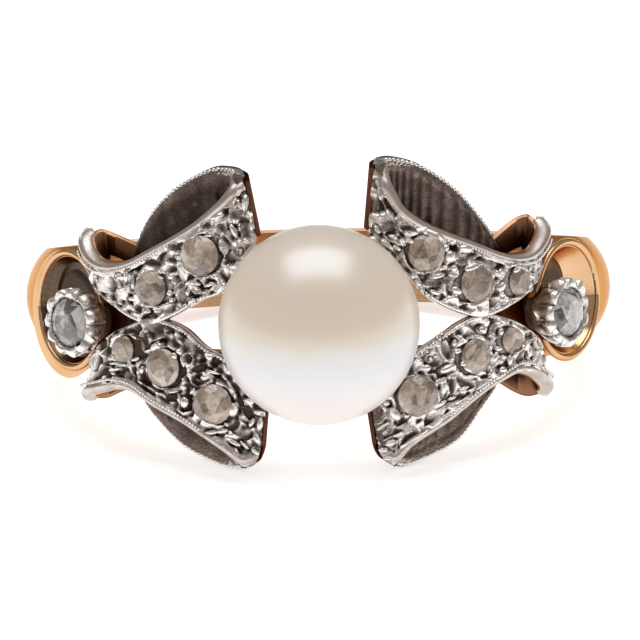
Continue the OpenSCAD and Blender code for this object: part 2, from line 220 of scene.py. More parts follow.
# In the finishes a noise is its number to a millimetre, detail and roughness, and stops are
# places on a ramp with their values.
silverLook = {"cloud": (1.6, 3, 0.6), "cloudSwing": 0.4, "grit": (11, 3, 0.65),
              "gritSwing": 0.5, "soot": ((0.14, 0.0), (0.5, 0.55), (0.95, 1.0)),
              "sootRough": 0.35, "gritRough": 0.14, "bump": 0.7}
silvers = {
    "carved_silver": {"pale": (0.97, 0.95, 0.94), "plain": (0.62, 0.57, 0.55),
                      "dark": (0.085, 0.058, 0.045)},
    "filed_silver": {"pale": (0.70, 0.645, 0.61), "plain": (0.54, 0.475, 0.44),
                     "dark": (0.16, 0.115, 0.09), "pits": 0.01, "rough": 0.25},
    # the linings' dark tones are partly tarnish and partly painted shade inside the loops
    "lining_silver": {"pale": (0.32, 0.26, 0.23), "plain": (0.085, 0.06, 0.046),
                      "dark": (0.03, 0.019, 0.014)},
    "bead_silver": {"pale": (0.9, 0.88, 0.87), "plain": (0.76, 0.73, 0.71),
                    "dark": (0.14, 0.105, 0.085)},
    "collet_silver": {"pale": (0.97, 0.95, 0.94), "plain": (0.85, 0.83, 0.81),
                      "dark": (0.13, 0.1, 0.085)}}


def makeSilver(name, pale, plain, dark, pits=0.03, rough=0.13):
    # pale and plain in clouds, and dark where the mesh's cavity value is high: patina in the
    # carving's hollows, painted shade where a piece sets its values so
    silver = Finish(name, Metallic=1.0)
    cavity = silver.node("ShaderNodeAttribute", {"attribute_name": "cavity"}, out="Fac")
    cloud = silver.noise(*silverLook["cloud"])
    grit = silver.noise(*silverLook["grit"])
    soot = silver.ramp(cavity + cloud.swing(silverLook["cloudSwing"])
                       + grit.swing(silverLook["gritSwing"]), silverLook["soot"])
    clean = silver.mix(cloud, colour(*pale), colour(*plain))
    silver.set("Base Color", silver.mix(soot, clean, colour(*dark)))
    return silver.wear(soot, grit, silverLook, pits, rough)


goldLook = {"cloud": (0.35, 2, 0.5), "cloudStops": ((0.3, 0.0), (0.7, 1.0)),
            "scuff": (9, 3, 0.65, (1, 0.25, 1)), "reach": 1.4, "sootRough": 0.15,
            "gritRough": 0.12, "bump": 0.5}
# the darkest colour of each gold is painted shade for its hollows
golds = {
    "shaded_gold": {"bright": (0.22, 0.09, 0.055), "deep": (0.12, 0.045, 0.028),
                    "dirt": (0.05, 0.014, 0.01), "rough": 0.3, "scratch": 0.01},
    "coppery_gold": {"bright": (0.46, 0.26, 0.15), "deep": (0.22, 0.095, 0.055),
                     "dirt": (0.05, 0.014, 0.009), "rough": 0.24, "scratch": 0.015,
                     "grime": ((0.15, 0.0), (0.5, 1.0))},
    "rose_gold": {"bright": (0.72, 0.48, 0.29), "deep": (0.58, 0.36, 0.20),
                  "dirt": (0.3, 0.11, 0.05), "rough": 0.13, "scratch": 0.007,
                  "lined": True}}
# The left shoulder's cup is dark silver inside, up to its lip: the middle of its hollow, and
# a ramp from there, its length in mm, on which silver turns to gold.
cup = {"middle": (-9.673, 0.0, 6.402), "ramp": 4.0, "stops": ((0.5385, 1.0), (0.5415, 0.0)),
       "silver": (0.075, 0.055, 0.043)}


def makeGold(name, bright, deep, dirt, rough, scratch, grime=((0.35, 0.0), (0.8, 1.0)),
             lined=False):
    gold = Finish(name, Metallic=1.0)
    gold.set("Specular Tint", colour(*bright))
    cloud = gold.ramp(gold.noise(*goldLook["cloud"]), goldLook["cloudStops"])
    scuff = gold.noise(*goldLook["scuff"])
    hollow = gold.recess(goldLook["reach"])
    tone = gold.mix(cloud, colour(*bright), colour(*deep))
    if lined:
        away = gold.node("ShaderNodeVectorMath", {"operation": "DISTANCE"},
                         {0: gold.place(), 1: layDown @ Vector(cup["middle"])}, out="Value")
        inside = gold.ramp(away * (1 / (cup["ramp"] * mm)), cup["stops"])
        tone = gold.mix(inside, tone, colour(*cup["silver"]))
    # darker in hollows, deepest inside the curls, towards the hollow shade colour: painted shade
    gold.set("Base Color", gold.mix(gold.ramp(hollow, grime), tone, colour(*dirt)))
    return gold.wear(hollow, scuff, goldLook, scratch, rough)


dishLook = {"pale": (0.055, 0.04, 0.031), "dark": (0.012, 0.008, 0.006), "reach": 1.0,
            "cloud": (1.2, 2, 0.5), "cloudSwing": 0.9, "grit": (9, 3, 0.6),
            "soot": ((0.2, 0.0), (0.5, 0.7), (0.75, 1.0)), "rough": 0.16,
            "sootRough": 0.3, "gritRough": 0.12, "pits": 0.03, "bump": 0.5}


def makeDarkSilver(name):
    silver = Finish(name, Metallic=1.0)
    hollow = silver.recess(dishLook["reach"])
    cloud = silver.noise(*dishLook["cloud"])
    grit = silver.noise(*dishLook["grit"])
    # darker where ambient occlusion finds the dish hollow, painted shade, varied by clouds
    soot = silver.ramp(hollow + cloud.swing(dishLook["cloudSwing"]), dishLook["soot"])
    silver.set("Base Color",
               silver.mix(soot, colour(*dishLook["pale"]), colour(*dishLook["dark"])))
    return silver.wear(soot, grit, dishLook, dishLook["pits"], dishLook["rough"])


# the pearl's base colour by its height over the floor, as a share of the ring's
# painted reflection and highlight: the cool white low down stands for the floor's reflection and
# the paler top for the soft box; the cream between is the pearl's own
paintedPearl = {"tall": 11, "tint": (0.84, 0.94, 1), "cloud": (0.3, 2, 0.5), "cloudSwing": 0.1,
          "wave": (2.5, 3, 0.6), "depth": 0.004, "bump": 0.3,
          "stops": ((0.33, (0.78, 0.71, 0.67)), (0.47, (0.77, 0.75, 0.78)),
                    (0.53, (0.81, 0.77, 0.73)), (0.575, (0.80, 0.69, 0.56)),
                    (0.63, (0.86, 0.73, 0.59)), (0.85, (0.88, 0.78, 0.68)))}


def makePaintedPearl(name):
    nacre = Finish(name, Roughness=0.3, IOR=2.5)
    nacre.set("Specular Tint", colour(*paintedPearl["tint"]))
    high = nacre.node("ShaderNodeSeparateXYZ", None, {0: nacre.place()}, out="Z")
    cloud = nacre.noise(*paintedPearl["cloud"])
    # base colour by height: painted reflection of the floor below, painted highlight near the top
    nacre.set("Base Color", nacre.ramp(
        high * (1 / (paintedPearl["tall"] * mm)) + cloud.swing(paintedPearl["cloudSwing"]), paintedPearl["stops"]))
    nacre.set("Normal", nacre.bump(nacre.noise(*paintedPearl["wave"]), paintedPearl["depth"],
                                   paintedPearl["bump"]))
    return nacre.material


# three tones over noise and facets: the dark body and the paler middle are the stone's own
# mottling, and the brightest, on single facets and specks, is a painted glint
stoneLook = {"cloud": (1.5, 3, 0.6), "cloudShare": 0.52, "speck": (7, 2, 0.6),
             "speckShare": 0.33, "facetShare": 0.33, "places": (0.38, 0.6, 0.78),
             "facetRise": 0.7, "speckRise": 0.5, "depth": 0.05, "bump": 0.7}
stones = {
    "old_cut_stone": {"tones": ((0.15, 0.1, 0.072), (0.32, 0.245, 0.19), (0.62, 0.53, 0.45)),
                      "facets": 2.2},
    "shoulder_stone": {"tones": ((0.04, 0.038, 0.036), (0.105, 0.1, 0.096), (0.62, 0.6, 0.59)),
                       "facets": 1.2}}


def makeStone(name, tones, facets):
    stone = Finish(name, Roughness=0.12, IOR=1.9, Coat_Weight=0.7, Coat_Roughness=0.05)
    cloud = stone.noise(*stoneLook["cloud"])
    speck = stone.noise(*stoneLook["speck"])
    flaw = stone.node("ShaderNodeTexVoronoi", {"feature": "F1"},
                      {"Vector": stone.place(), "Scale": facets / mm}, out="Color")
    facet = stone.node("ShaderNodeSeparateColor", None, {0: flaw}, out=0)
    tone = (cloud * stoneLook["cloudShare"] + speck * stoneLook["speckShare"]
            + facet * stoneLook["facetShare"])
    stone.set("Base Color", stone.ramp(tone, list(zip(stoneLook["places"], tones))))
    relief = facet * stoneLook["facetRise"] + speck * stoneLook["speckRise"] + cloud
    stone.set("Normal", stone.bump(relief, stoneLook["depth"], stoneLook["bump"]))
    return stone.material


def deselectAll():
    if bpy.context.object and bpy.context.object.mode != "OBJECT":
        bpy.ops.object.mode_set(mode="OBJECT")
    bpy.ops.object.select_all(action="DESELECT")


def pickOnly(piece):
    deselectAll()
    piece.select_set(True)
    bpy.context.view_layer.objects.active = piece


def layPiece(piece, finish, nodes, smooth=40):
    # laid down with its place in its mesh, and given to the frame
    pickOnly(piece)
    piece.matrix_world = layDown
    bpy.ops.object.transform_apply(location=True, rotation=True, scale=True)
    bpy.ops.object.shade_smooth_by_angle(angle=math.radians(smooth))
    piece.data.materials.clear()
    piece.data.materials.append(finishes[finish])
    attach(piece, "root")
    if nodes:
        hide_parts(*nodes)


def addCavity(mesh, values):
    depth = mesh.attributes.new("cavity", "FLOAT", "POINT")
    depth.data.foreach_set("value", np.clip(values, 0, 1).reshape(-1).astype(np.float32))


def finishMesh():
    bpy.ops.mesh.select_all(action="SELECT")
    bpy.ops.mesh.normals_make_consistent(inside=False)
    bpy.ops.object.mode_set(mode="OBJECT")


def rolledPiece(name, loops, cavity=None):
    # a grid rolled into a closed section that runs along the piece, then capped
    shade = np.zeros(loops.shape[:2]) if cavity is None else cavity
    loops = np.concatenate([loops, loops[:, :1]], 1)
    shade = np.concatenate([shade, shade[:, :1]], 1)
    rows, around = loops.shape[:2]
    deselectAll()
    bpy.ops.mesh.primitive_grid_add(x_subdivisions=around - 1, y_subdivisions=rows - 1, size=1)
    piece = bpy.context.object
    piece.name = piece.data.name = name
    piece.data.vertices.foreach_set("co", loops.reshape(-1).astype(np.float32))
    addCavity(piece.data, shade)
    bpy.ops.object.mode_set(mode="EDIT")
    bpy.ops.mesh.select_all(action="SELECT")
    bpy.ops.mesh.remove_doubles(threshold=0.0004)
    bpy.ops.mesh.select_all(action="DESELECT")
    bpy.ops.mesh.select_mode(type="EDGE")
    bpy.ops.mesh.select_non_manifold(extend=False)
    bpy.ops.mesh.fill_holes(sides=0)
    finishMesh()
    return piece


# a bead's cavity value at its middle, and how much that falls to its top
bead = {"shade": 0.5, "shadeFall": 0.9}


def makeBeadMaster():
    deselectAll()
    bpy.ops.mesh.primitive_uv_sphere_add(segments=9, ring_count=6, radius=1)
    master = bpy.context.object
    master.name = "bead_master"
    return master


def copiedPiece(name, master, spots):
    # one mesh with a copy of the master at each spot: place, three axes with their lengths
    count = len(master.data.vertices)
    points = np.empty(count * 3, np.float32)
    master.data.vertices.foreach_get("co", points)
    points = points.reshape(-1, 3)
    faces = [list(face.vertices) for face in master.data.polygons]
    allPoints = []
    allFaces = []
    for k, (place, along, across, up) in enumerate(spots):
        allPoints.append(points @ np.array([along, across, up]) + place)
        allFaces += [[v + k * count for v in face] for face in faces]
    mesh = bpy.data.meshes.new(name)
    mesh.from_pydata(np.concatenate(allPoints).tolist(), [], allFaces)
    addCavity(mesh, np.tile(bead["shade"] - points[:, 2] * bead["shadeFall"], len(spots)))
    piece = bpy.data.objects.new(name, mesh)
    bpy.context.collection.objects.link(piece)
    pickOnly(piece)
    bpy.ops.object.mode_set(mode="EDIT")
    finishMesh()
    return piece


# The ribbons' rows follow the solids: distance from the middle, height of the face where
# silver and gold meet, inner edge, outer edge, and how much further out the outer edge lies.
# Stones are a row, Y and radius. Scoops and grains are X, Y, half length, half width and turn
# in degrees, and ridges are lines through X and Y.
# How dark each ribbon's carved face is as a whole is a level of patina; its differences between
# the ribbons, darkest on the lower left, are painted shade.
ribbons = {
    "upper_left": {
        "side": -1, "flip": 1, "soot": 0.2, "nodes": ("bow_left", "backing_left"),
        "front": [[2.19, 11.2, 2.6, 5.05, 0.48], [2.49, 11.24, 2.28, 4.8, 0.45],
            [3.2, 11.18, 1.12, 4.32, 0.1], [4.05, 10.88, 0.72, 3.64, 0],
            [4.95, 10.45, 0.18, 3.03, 0], [5.75, 9.98, -0.15, 2.56, 0],
            [6.45, 9.46, 0.05, 2.14, 0], [7.05, 8.9, 0.45, 1.95, 0], [7.5, 8.38, 0.8, 2, 0.1],
            [7.69, 7.85, 1.15, 2.32, 0.28], [7.66, 7.3, 1.65, 2.75, 0.46],
            [7.53, 6.9, 1.85, 2.98, 0.38], [7.35, 6.8, 2, 3.02, 0.2], [6.9, 7.1, 1.9, 2.8, 0],
            [6.05, 7.72, 1.5, 2.45, 0]],
        "back": [[6.25, 7.85, 1.2, 2.45, 0], [5.6, 8.35, 1.2, 3.74, 0], [4.7, 8.85, 1.3, 4.68, 0],
            [3.6, 9.3, 1.8, 5.27, 0], [2.8, 9.65, 2.5, 5.32, 0.16], [2.28, 10.1, 2.8, 5.26, 0.34],
            [2.13, 10.7, 2.85, 5.18, 0.42], [2.14, 11.42, 2.85, 5.06, 0.42]],
        "stones": [[2.93, 2.33, 0.72], [4.95, 1.12, 0.64]],
        "scoops": [[3.85, 3.36, 0.18, 0.15, 0], [5.04, 2.57, 0.18, 0.16, 0],
            [5.12, 2.12, 0.19, 0.12, 25], [5.77, 1.96, 0.31, 0.16, 20],
            [5.47, 1.29, 0.23, 0.1, 25], [4.83, 0.95, 0.35, 0.16, 90], [3.02, 2.24, 0.19, 0.18, 0],
            [2.8, 3.69, 0.23, 0.19, 160], [2.47, 3.26, 0.41, 0.19, 80],
            [6.32, 0.36, 0.14, 0.12, 0], [6.98, 1.28, 0.19, 0.07, 60],
            [3.32, 3.25, 0.21, 0.15, 60], [3.48, 1.74, 0.16, 0.09, 150],
            [5.8, 0.19, 0.19, 0.09, 10]],
        "grains": [[5.62, 1.53, 0.25, 0.09, 5], [5.16, 1.57, 0.15, 0.13, 0],
            [5.2, 0.99, 0.12, 0.13, 0], [5.16, 0.75, 0.12, 0.1, 0], [4.57, 1.04, 0.14, 0.09, 100],
            [6.74, 1.51, 0.24, 0.11, 100], [7.03, 1.52, 0.12, 0.11, 0],
            [6.52, 1.24, 0.19, 0.07, 95], [6.58, 0.73, 0.15, 0.09, 170],
            [6.52, 0.42, 0.13, 0.09, 120], [6.05, 0.34, 0.19, 0.08, 10],
            [3.46, 3.71, 0.28, 0.14, 155], [2.48, 4.16, 0.35, 0.14, 95],
            [2.9, 3.2, 0.31, 0.11, 65], [2.68, 2.47, 0.12, 0.07, 110],
            [3.8, 3.03, 0.21, 0.06, 175], [4.87, 2.23, 0.18, 0.07, 10],
            [4.27, 1.36, 0.19, 0.07, 15], [3.81, 1.32, 0.19, 0.08, 155],
            [4.44, 0.73, 0.18, 0.08, 150]],
        "ridges": [[[6.46, 1.65], [6.09, 1.71], [5.91, 1.5], [5.54, 1.39], [5.39, 1.47]],
            [[2.68, 4.2], [2.61, 3.97], [2.32, 3.76], [2.28, 3.53]], [[3.15, 4.02], [2.79, 4.28],
            [2.68, 4.24]], [[3.14, 3], [2.97, 2.73], [2.86, 2.66], [2.71, 2.46]], [[4.57, 1.21],
            [4.31, 1], [4.11, 1.01], [3.82, 1.1], [3.65, 1.33]]]},
    "lower_left": {
        "side": -1, "flip": -1, "soot": 0.68, "nodes": ("bow_left", "backing_left"),
        "front": [[2, 11.15, 2.74, 4.6, 0.22], [2.34, 11.21, 2.44, 5.04, 0.2],
            [2.7, 11.22, 2.03, 5.1, 0.08], [3.2, 11.15, 1.3, 4.72, 0],
            [3.95, 10.92, 0.85, 4.18, 0], [4.7, 10.57, 0.2, 3.66, 0], [5.7, 10, -0.1, 3.12, 0],
            [6.5, 9.42, 0.2, 2.6, 0], [7.1, 8.85, 0.55, 2.55, 0], [7.5, 8.3, 1, 2.7, 0.1],
            [7.75, 7.75, 1.35, 2.85, 0.25], [7.75, 7.25, 1.6, 3, 0.4], [7.6, 6.9, 1.9, 3.12, 0.35],
            [7.35, 6.82, 2, 3.12, 0.15], [6.9, 7.15, 1.9, 2.85, 0], [6.05, 7.68, 1.5, 2.55, 0]],
        "back": [[6.2, 7.85, 1.2, 2.85, 0], [5.6, 8.35, 1.2, 3.74, 0], [4.7, 8.85, 1.3, 4.66, 0],
            [3.6, 9.3, 1.8, 5.22, 0], [2.8, 9.65, 2.55, 5.35, 0.1], [2.2, 10.1, 2.9, 5.2, 0.2],
            [2, 10.7, 3, 4.9, 0.25], [1.98, 11.42, 3, 4.5, 0.15]],
        "stones": [[3.65, 2.88, 0.72], [5.65, 1.64, 0.68], [7.4, 1.08, 0.54]],
        "scoops": [[4.64, 1.31, 0.19, 0.17, 60], [4.23, 1.63, 0.29, 0.12, 8],
            [5.09, 2.21, 0.28, 0.2, 40], [5.19, 2.65, 0.23, 0.16, 10], [3.13, 3.6, 0.3, 0.18, 20],
            [6.13, 0.71, 0.31, 0.15, 82], [6.47, 1.47, 0.2, 0.12, 40],
            [2.52, 3.17, 0.29, 0.16, 120], [2.84, 2.74, 0.23, 0.1, 130],
            [7.66, 0.98, 0.27, 0.11, 70], [6.69, 0.43, 0.23, 0.09, 15],
            [7.44, 2.1, 0.21, 0.12, 80]],
        "grains": [[4.03, 1.94, 0.19, 0.12, 5], [4.77, 2.84, 0.23, 0.19, 80],
            [3.07, 3.06, 0.29, 0.2, 80], [5.09, 1.24, 0.16, 0.12, 80],
            [4.81, 1.4, 0.23, 0.08, 105], [6.5, 1.4, 0.21, 0.08, 15],
            [6.69, 1.54, 0.19, 0.07, 135], [6.39, 1.56, 0.12, 0.05, 140],
            [7.24, 1.59, 0.31, 0.06, 8], [7.24, 1.81, 0.31, 0.07, 10],
            [6.26, 1.76, 0.16, 0.09, 80], [5.77, 0.84, 0.23, 0.07, 30],
            [3.75, 1.75, 0.27, 0.06, 165], [5.19, 2.48, 0.23, 0.05, 10],
            [4.49, 2.43, 0.16, 0.08, 50], [3.46, 3.82, 0.23, 0.1, 10], [3.83, 3.85, 0.27, 0.09, 5],
            [3.05, 4.21, 0.27, 0.09, 150], [2.7, 4.3, 0.23, 0.07, 135],
            [2.24, 4.09, 0.24, 0.14, 110], [2.12, 3.58, 0.27, 0.13, 80],
            [2.42, 3.52, 0.19, 0.1, 60], [2.33, 4.54, 0.19, 0.09, 140]],
        "ridges": [[[4.57, 1.88], [4.23, 1.77], [3.91, 1.8], [3.79, 2.03], [3.99, 2.21],
            [4.34, 2.25], [4.53, 2.1], [4.57, 1.88]], [[4.99, 2.61], [4.99, 3.09], [4.81, 3.24],
            [4.53, 3.12], [4.45, 2.76], [4.6, 2.52]], [[4.3, 1.46], [3.95, 1.42], [3.7, 1.64],
            [3.5, 1.8], [3.26, 2.01], [3.01, 2.39], [2.93, 2.61]], [[6.09, 1.1], [5.67, 0.84],
            [5.51, 0.76]], [[6.39, 1.67], [6.39, 2.14], [5.86, 2.46], [5.46, 2.65]], [[3.22, 3.32],
            [3.36, 3.51], [3.19, 3.82]], [[5.56, 2.56], [5.09, 2.38], [4.72, 2.3]]]},
    "upper_right": {
        "side": 1, "flip": 1, "soot": 0.2, "nodes": ("bow_right", "backing_right"),
        "front": [[1.9, 11.15, 2.8, 5.4, 0.26], [2.22, 11.22, 2.55, 4.8, 0.3],
            [2.9, 11.2, 1.75, 4.02, 0], [3.7, 11, 0.75, 3.38, 0], [4.6, 10.62, 0.18, 2.92, 0],
            [5.5, 10.13, -0.12, 2.52, 0], [6.2, 9.65, 0.02, 2.17, 0], [6.8, 9.12, 0.35, 1.97, 0],
            [7.3, 8.55, 0.75, 2.03, 0.1], [7.56, 7.95, 1.1, 2.42, 0.23],
            [7.58, 7.35, 1.55, 2.8, 0.36], [7.43, 6.92, 1.85, 3.1, 0.33],
            [7.25, 6.82, 2, 3.25, 0.15], [6.8, 7.15, 1.9, 3.05, 0], [6, 7.76, 1.5, 2.45, 0]],
        "back": [[6.2, 7.9, 1.2, 2.25, 0], [5.6, 8.35, 1.2, 3.28, 0], [4.7, 8.85, 1.3, 4.42, 0],
            [3.6, 9.3, 1.8, 5.24, 0], [2.6, 9.65, 2.5, 5.56, 0.05], [1.95, 10.1, 2.9, 5.56, 0.18],
            [1.8, 10.7, 3, 5.52, 0.26], [1.85, 11.42, 3, 5.44, 0.24]],
        "stones": [[3, 2.28, 0.68], [4.9, 1.08, 0.68], [7.22, 1, 0.54]],
        "scoops": [[5.24, 1.96, 0.35, 0.15, 15], [3.1, 1.92, 0.43, 0.19, 125],
            [2.5, 3.26, 0.35, 0.18, 20], [3.17, 3.11, 0.33, 0.12, 165],
            [3.65, 1.43, 0.14, 0.1, 60], [4.54, 1.22, 0.18, 0.09, 160],
            [4.89, 1.25, 0.14, 0.1, 30], [6.66, 1.17, 0.18, 0.12, 60], [6.2, 0.64, 0.21, 0.11, 10],
            [3.94, 1.23, 0.43, 0.12, 170], [2.84, 2.36, 0.23, 0.11, 60],
            [7.58, 1.14, 0.16, 0.1, 60]],
        "grains": [[4.63, 2.08, 0.25, 0.23, 120], [4.5, 2.4, 0.15, 0.12, 60],
            [4.76, 1.66, 0.16, 0.15, 0], [4.84, 0.89, 0.25, 0.16, 155],
            [5.41, 1.68, 0.36, 0.16, 15], [5.19, 2.31, 0.31, 0.16, 165],
            [6.39, 1.39, 0.2, 0.13, 55], [6.45, 0.88, 0.24, 0.16, 55],
            [7.02, 1.47, 0.24, 0.12, 30], [3.65, 2.51, 0.23, 0.08, 25],
            [3.53, 2.33, 0.25, 0.07, 40], [3.25, 2.7, 0.23, 0.11, 145], [4.16, 1.44, 0.35, 0.1, 8],
            [3.61, 0.96, 0.12, 0.08, 0], [3.78, 0.79, 0.11, 0.08, 0],
            [4.07, 0.87, 0.23, 0.09, 160], [3.45, 1.21, 0.16, 0.08, 130],
            [7.5, 1.47, 0.18, 0.09, 70], [7.62, 1.13, 0.14, 0.07, 60],
            [2.42, 2.61, 0.31, 0.1, 140], [2.77, 2.47, 0.19, 0.08, 150],
            [2.64, 2.87, 0.19, 0.08, 160], [2.08, 3.14, 0.19, 0.1, 120]],
        "ridges": [[[3.53, 3.07], [3.82, 3.16], [4.2, 2.99], [4.41, 2.72]], [[2.1, 4.82],
            [2.22, 4.23], [2.4, 3.81], [2.64, 3.62]], [[4.67, 2.51], [4.84, 2.6], [4.97, 2.35],
            [5.02, 2.17]], [[5.32, 1.91], [5.69, 2.04], [5.65, 2.2]]]},
    "lower_right": {
        "side": 1, "flip": -1, "soot": 0.28, "nodes": ("bow_right", "backing_right"),
        "front": [[1.86, 11.13, 2.9, 4.6, 0.26], [2.18, 11.2, 2.58, 5.08, 0.24],
            [2.5, 11.22, 2.27, 5.12, 0.1], [3.1, 11.17, 1.35, 4.55, 0],
            [4.2, 10.82, 0.65, 3.88, 0], [4.9, 10.48, 0.22, 3.36, 0], [5.6, 10.05, 0, 2.85, 0],
            [6.25, 9.6, 0.15, 2.5, 0], [6.85, 9.08, 0.45, 2.25, 0], [7.3, 8.55, 0.85, 2.4, 0.08],
            [7.55, 7.95, 1.25, 2.75, 0.22], [7.6, 7.4, 1.55, 3.05, 0.35],
            [7.5, 6.95, 1.9, 3.3, 0.3], [7.2, 6.87, 2, 3.38, 0.1], [6.75, 7.15, 1.9, 3.15, 0],
            [6, 7.72, 1.5, 2.6, 0]],
        "back": [[6.2, 7.85, 1.2, 2.6, 0], [5.6, 8.35, 1.2, 3.45, 0], [4.7, 8.85, 1.3, 4.62, 0],
            [3.6, 9.3, 1.8, 5.17, 0], [2.7, 9.65, 2.6, 5.4, 0.1], [2.05, 10.1, 2.9, 5.2, 0.25],
            [1.8, 10.7, 3.05, 4.9, 0.3], [1.78, 11.42, 3.05, 4.5, 0.2]],
        "stones": [[3.22, 2.71, 0.74], [5.62, 1.48, 0.64], [7.65, 1.02, 0.52]],
        "scoops": [[4.46, 1.11, 0.43, 0.2, 70], [4.06, 1.62, 0.23, 0.11, 0],
            [5.09, 2.29, 0.34, 0.24, 45], [6.21, 0.63, 0.23, 0.16, 100],
            [7.06, 1.74, 0.31, 0.16, 95], [4.62, 2.43, 0.27, 0.12, 95],
            [5.77, 2.19, 0.18, 0.07, 170], [6.57, 1.8, 0.16, 0.12, 150],
            [2, 3.47, 0.23, 0.14, 150], [2.45, 3.83, 0.19, 0.12, 150],
            [3.1, 4.16, 0.39, 0.12, 145], [6.91, 1.21, 0.23, 0.16, 100]],
        "grains": [[3.7, 1.77, 0.23, 0.15, 175], [4.46, 1.82, 0.35, 0.15, 160],
            [5.02, 1.69, 0.12, 0.11, 0], [5.2, 1.91, 0.23, 0.1, 30], [4.86, 1.24, 0.16, 0.1, 160],
            [4.73, 0.94, 0.14, 0.09, 110], [4.32, 2.45, 0.32, 0.13, 94],
            [4.62, 2.87, 0.18, 0.06, 170], [4.23, 3.04, 0.23, 0.08, 150],
            [2.59, 3.32, 0.3, 0.2, 60], [5.74, 0.57, 0.2, 0.14, 30], [6.4, 0.68, 0.16, 0.12, 100],
            [6.3, 1.27, 0.19, 0.11, 0], [6.17, 1.55, 0.23, 0.14, 120],
            [6.69, 1.71, 0.23, 0.13, 100], [6.44, 2.02, 0.19, 0.12, 0],
            [5.67, 2.06, 0.23, 0.09, 15], [5.09, 2.54, 0.19, 0.06, 170],
            [4.12, 0.7, 0.07, 0.07, 0], [4, 0.87, 0.07, 0.07, 0], [3.88, 1.02, 0.07, 0.07, 0],
            [3.76, 1.18, 0.07, 0.07, 0], [4.06, 1.37, 0.08, 0.07, 0], [3.88, 1.44, 0.08, 0.07, 0],
            [3.58, 1.28, 0.07, 0.07, 0], [4.28, 0.58, 0.07, 0.07, 0], [5.49, 2.72, 0.06, 0.05, 0],
            [5.63, 2.67, 0.06, 0.05, 0], [5.77, 2.61, 0.06, 0.05, 0], [5.91, 2.54, 0.06, 0.05, 0],
            [6.04, 2.47, 0.06, 0.05, 0], [6.17, 2.43, 0.06, 0.05, 0], [2.29, 2.96, 0.13, 0.09, 0],
            [7.42, 1.51, 0.23, 0.09, 100], [7.59, 1.73, 0.23, 0.08, 110],
            [7.06, 2.09, 0.23, 0.07, 0], [7.38, 2.13, 0.19, 0.09, 10],
            [2.41, 4.34, 0.23, 0.12, 160], [2.15, 4.58, 0.19, 0.1, 0],
            [2.28, 4.88, 0.16, 0.07, 0]],
        "ridges": [[[3.1, 2.05], [3.24, 1.99], [4.06, 1.98], [4.06, 2.17]], [[4.99, 2.01],
            [5.2, 2.26], [5.42, 2.35], [5.39, 2.58], [5.28, 2.67]], [[4.96, 1.1], [5.24, 1.49],
            [5.42, 1.85]], [[1.95, 3.85], [2.3, 3.63]], [[2.02, 4.3], [2.78, 3.99]], [[2.79, 4.49],
            [3.39, 4.17], [3.69, 3.95]]]}}

sheet = {"silver": 0.34, "rimSlope": 0.55, "cell": 0.036, "endRows": 4, "footNear": 0.2,
         "footFar": 0.02, "footShade": 0.1}


def fade(value, width=1):
    # 0 at nothing, and 1 from the width on
    return np.clip(value / width, 0, 1)


def bulge(value, width=1):
    return np.exp(-(value / width) ** 2)


def unit(vectors):
    return vectors / np.linalg.norm(vectors, axis=1)[:, None]


def runAlong(steps):
    return np.concatenate([[0], np.cumsum(steps)])


def placed(points, ribbon):
    return points * np.array([ribbon["side"], ribbon["flip"], 1.0])


def edges(row):
    return row[:, 2:3], row[:, 3:4]


def rowAt(rows, s):
    last = len(rows) - 1
    i = np.minimum(np.floor(s).astype(int), last - 1)
    t = (s - i)[:, None]
    a, b, c, d = (rows[np.clip(i + k, 0, last)] for k in (-1, 0, 1, 2))
    return 0.5 * (2 * b + (c - a) * t + (2 * a - 5 * b + 4 * c - d) * t * t
                  + (3 * b - a - 3 * c + d) * t ** 3)


# samples along a strip, its fewest steps, and how far in rows its direction is looked for
stepping = {"samples": 900, "fewest": 8, "reach": 0.3}


def squareAt(rows, s, start, end):
    # the direction square to the strip at each row
    ahead = rowAt(rows, np.minimum(s + stepping["reach"], end))
    behind = rowAt(rows, np.maximum(s - stepping["reach"], start))
    way = unit(ahead[:, :2] - behind[:, :2])
    return np.stack([-way[:, 1], way[:, 0]], 1)


def evenRows(rows, start, end, cell):
    # rows at even steps along the strip, and the direction square to it at each
    fine = np.linspace(start, end, stepping["samples"])
    track = rowAt(rows, fine)
    run = runAlong(np.hypot(*np.diff(track[:, :2], axis=0).T))
    even = np.linspace(0, run[-1], max(int(run[-1] / cell), stepping["fewest"]))
    s = np.interp(even, run, fine)
    return s, rowAt(rows, s), squareAt(rows, s, start, end), even


def stripPoint(row, normal, share, offset, trim=0.0):
    # share runs 0 to 1 from the inner to the outer edge; a line of points for each row
    across, high, inner, outer, lean = row.T[..., None]
    rise = offset * normal[:, 1:2]
    start = inner + trim
    end = outer - trim - sheet["rimSlope"] * rise
    y = start + (end - start) * share
    bend = ((y - inner) / (outer - inner)) ** 2
    return np.stack([across + bend * lean + offset * normal[:, 0:1], y,
                     high + rise + 0 * y], -1)


def softened(field, reach):
    # the mean over a square of cells
    size = 2 * reach + 1
    for axis in (0, 1):
        pad = [(reach, reach) if k == axis else (0, 0) for k in (0, 1)]
        total = np.cumsum(np.pad(field, pad, mode="edge"), axis=axis)
        total = np.insert(total, 0, 0, axis=axis)
        field = (np.take(total, range(size, total.shape[axis]), axis)
                 - np.take(total, range(0, total.shape[axis] - size), axis)) / size
    return field


